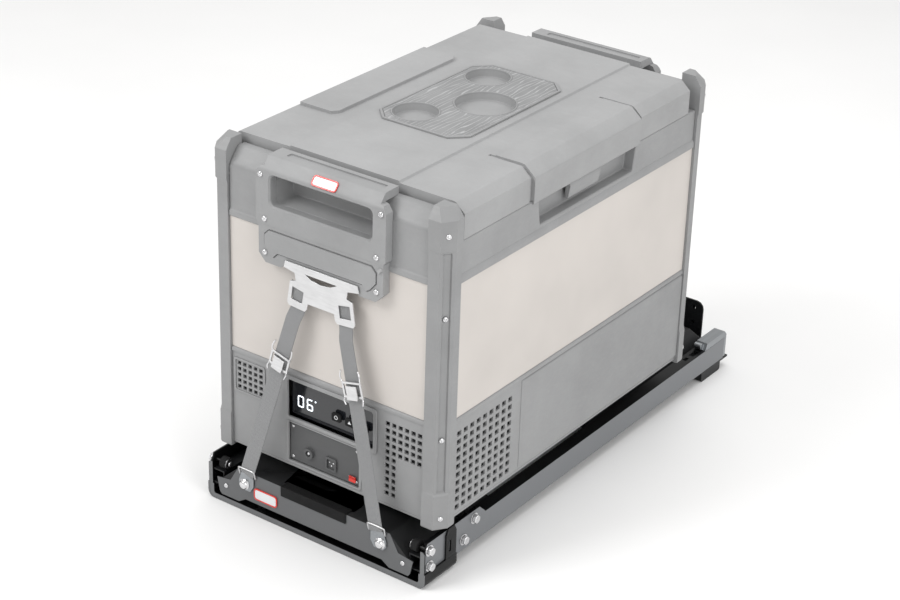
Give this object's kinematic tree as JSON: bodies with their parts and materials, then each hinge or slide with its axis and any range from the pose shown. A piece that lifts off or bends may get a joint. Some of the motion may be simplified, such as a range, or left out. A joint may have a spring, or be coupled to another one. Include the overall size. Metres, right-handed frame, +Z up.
{
  "type": "compressor cooler fridge",
  "caption": "Chest-style compressor cooler fridge with top-hinged lid and end handles, strapped to a steel slide-out mounting frame with release bar and rollers.",
  "frame": {"origin": "on the floor plane under the middle of the whole assembly's bounding box", "axes": "+Z up, -Y the way the tray slides out and the fridge's control end faces, +X the lid's grip side (its hinge is on -X)"},
  "size_m": [0.447, 0.924, 0.6193],
  "materials": {
    "case_plastic": "textured matte moulding",
    "lid_plastic": "textured matte moulding",
    "panel_beige": "satin powder coat, warm sand",
    "slide_steel": "black powder coat",
    "rail_steel": "satin zinc steel",
    "bright_steel": "bright plated steel",
    "rubber": "matte black rubber",
    "webbing": "woven polyester webbing",
    "foam": "rigid closed-cell foam",
    "liner": "smooth pale liner",
    "glass": "gloss black window",
    "signal_red": "gloss red",
    "mat_grey": "moulded rubber mat",
    "compressor_black": "gloss black enamel"
  },
  "bodies": {
    "slide_frame": {"front_crossmember": "slide_steel", "rear_crossmember": "slide_steel", "outer_rail_left": "rail_steel", "outer_rail_right": "rail_steel", "rail_end_block_left": "rail_steel", "rail_end_block_right": "rail_steel"},
    "carriage": {"base_pan": "case_plastic", "compressor": "compressor_black", "condenser": "rail_steel", "corner_post_front_left": "case_plastic", "corner_post_front_right": "case_plastic", "corner_post_rear_left": "case_plastic", "corner_post_rear_right": "case_plastic", "display_module": "glass", "end_panel_front": "panel_beige", "end_panel_rear": "panel_beige", "foam_insulation": "foam", "front_lower_panel": "case_plastic", "grip_sleeve": "rubber", "handle_front": "case_plastic", "handle_rear": "case_plastic", "hinge_bar": "bright_steel", "hook_plate": "bright_steel", "inner_liner": "liner", "inner_rail_left": "slide_steel", "inner_rail_right": "slide_steel", "power_panel": "case_plastic", "rear_lower_panel": "case_plastic", "rim_end_front": "case_plastic", "rim_end_rear": "case_plastic", "rim_side_left": "case_plastic", "rim_side_right": "case_plastic", "side_lower_panel_left": "case_plastic", "side_lower_panel_right": "case_plastic", "side_panel_left": "panel_beige", "side_panel_right": "panel_beige", "strap_left": "webbing", "strap_right": "webbing", "tray_front_plate": "slide_steel", "tray_rear_plate": "slide_steel"},
    "lid": {"lid_shell": "lid_plastic", "lid_liner": "liner", "lid_gasket": "rubber", "cup_mat": "mat_grey"},
    "roller_front_left": {"roller_front_left": "rubber"},
    "roller_front_right": {"roller_front_right": "rubber"},
    "roller_mid_left": {"roller_mid_left": "rubber"},
    "roller_mid_right": {"roller_mid_right": "rubber"},
    "release_bar": {"release_bar": "bright_steel"},
    "pawl_left": {"pawl_left": "bright_steel"},
    "pawl_right": {"pawl_right": "bright_steel"},
    "fan": {"fan": "case_plastic"},
    "button_power": {"button_power": "rubber"},
    "button_up": {"button_up": "rubber"},
    "button_down": {"button_down": "rubber"},
    "power_switch": {"power_switch": "signal_red"},
    "lid_latch": {"lid_latch": "case_plastic"},
    "buckle_lever_left": {"buckle_lever_left": "bright_steel"},
    "buckle_lever_right": {"buckle_lever_right": "bright_steel"}
  },
  "joints": [
    {"name": "tray_slide", "type": "slide", "parent": "slide_frame", "child": "carriage", "axis": [0, -1, 0], "range_m": [0, 0.6]},
    {"name": "roller_front_right_spin", "type": "hinge", "parent": "slide_frame", "child": "roller_front_right", "pos_m": [0.19, -0.44145, 0.064], "axis": [1, 0, 0], "continuous": true},
    {"name": "roller_front_left_spin", "type": "hinge", "parent": "slide_frame", "child": "roller_front_left", "pos_m": [-0.19, -0.44145, 0.064], "axis": [1, 0, 0], "continuous": true},
    {"name": "roller_mid_right_spin", "type": "hinge", "parent": "slide_frame", "child": "roller_mid_right", "pos_m": [0.19, -0.32645, 0.064], "axis": [1, 0, 0], "continuous": true},
    {"name": "roller_mid_left_spin", "type": "hinge", "parent": "slide_frame", "child": "roller_mid_left", "pos_m": [-0.19, -0.32645, 0.064], "axis": [1, 0, 0], "continuous": true},
    {"name": "release_bar_pull", "type": "slide", "parent": "carriage", "child": "release_bar", "axis": [0, -1, 0], "range_m": [0, 0.008], "stiffness_N_per_m": 400},
    {"name": "pawl_right_turn", "type": "hinge", "parent": "carriage", "child": "pawl_right", "pos_m": [0.167, -0.39245, 0.042], "axis": [0, 0, 1], "range_deg": [0, 12]},
    {"name": "pawl_left_turn", "type": "hinge", "parent": "carriage", "child": "pawl_left", "pos_m": [-0.167, -0.39245, 0.042], "axis": [0, 0, -1], "range_deg": [0, 12]},
    {"name": "lid_hinge", "type": "hinge", "parent": "carriage", "child": "lid", "pos_m": [-0.2206, -0.06845, 0.557], "axis": [0, -1, 0], "range_deg": [0, 90]},
    {"name": "lid_latch_pull", "type": "hinge", "parent": "lid", "child": "lid_latch", "pos_m": [0.2095, -0.06445, 0.549], "axis": [0, -1, 0], "range_deg": [0, 20], "stiffness_Nm_per_rad": 0.05},
    {"name": "fan_spin", "type": "hinge", "parent": "carriage", "child": "fan", "pos_m": [0.149, -0.31445, 0.153], "axis": [1, 0, 0], "continuous": true},
    {"name": "button_power_press", "type": "slide", "parent": "carriage", "child": "button_power", "axis": [0, 1, 0], "range_m": [0, 0.0025], "stiffness_N_per_m": 300},
    {"name": "button_up_press", "type": "slide", "parent": "carriage", "child": "button_up", "axis": [0, 1, 0], "range_m": [0, 0.0025], "stiffness_N_per_m": 300},
    {"name": "button_down_press", "type": "slide", "parent": "carriage", "child": "button_down", "axis": [0, 1, 0], "range_m": [0, 0.0025], "stiffness_N_per_m": 300},
    {"name": "power_switch_rock", "type": "hinge", "parent": "carriage", "child": "power_switch", "pos_m": [0.052, -0.42325, 0.118], "axis": [1, 0, 0], "range_deg": [-10, 10]},
    {"name": "buckle_lever_left_lift", "type": "hinge", "parent": "carriage", "child": "buckle_lever_left", "pos_m": [-0.0652, -0.45523, 0.301], "axis": [-1, 0, 0], "range_deg": [0, 50], "stiffness_Nm_per_rad": 0.02},
    {"name": "buckle_lever_right_lift", "type": "hinge", "parent": "carriage", "child": "buckle_lever_right", "pos_m": [0.07196, -0.45523, 0.301], "axis": [-1, 0, 0], "range_deg": [0, 50], "stiffness_Nm_per_rad": 0.02}
  ],
  "couplings": [
    {"joint": "roller_front_right_spin", "follows": "tray_slide", "rad_per_m": -103.09},
    {"joint": "roller_front_left_spin", "follows": "tray_slide", "rad_per_m": -103.09},
    {"joint": "roller_mid_right_spin", "follows": "tray_slide", "rad_per_m": -103.09},
    {"joint": "roller_mid_left_spin", "follows": "tray_slide", "rad_per_m": -103.09},
    {"joint": "pawl_right_turn", "follows": "release_bar_pull", "rad_per_m": 26},
    {"joint": "pawl_left_turn", "follows": "release_bar_pull", "rad_per_m": 26}
  ]
}
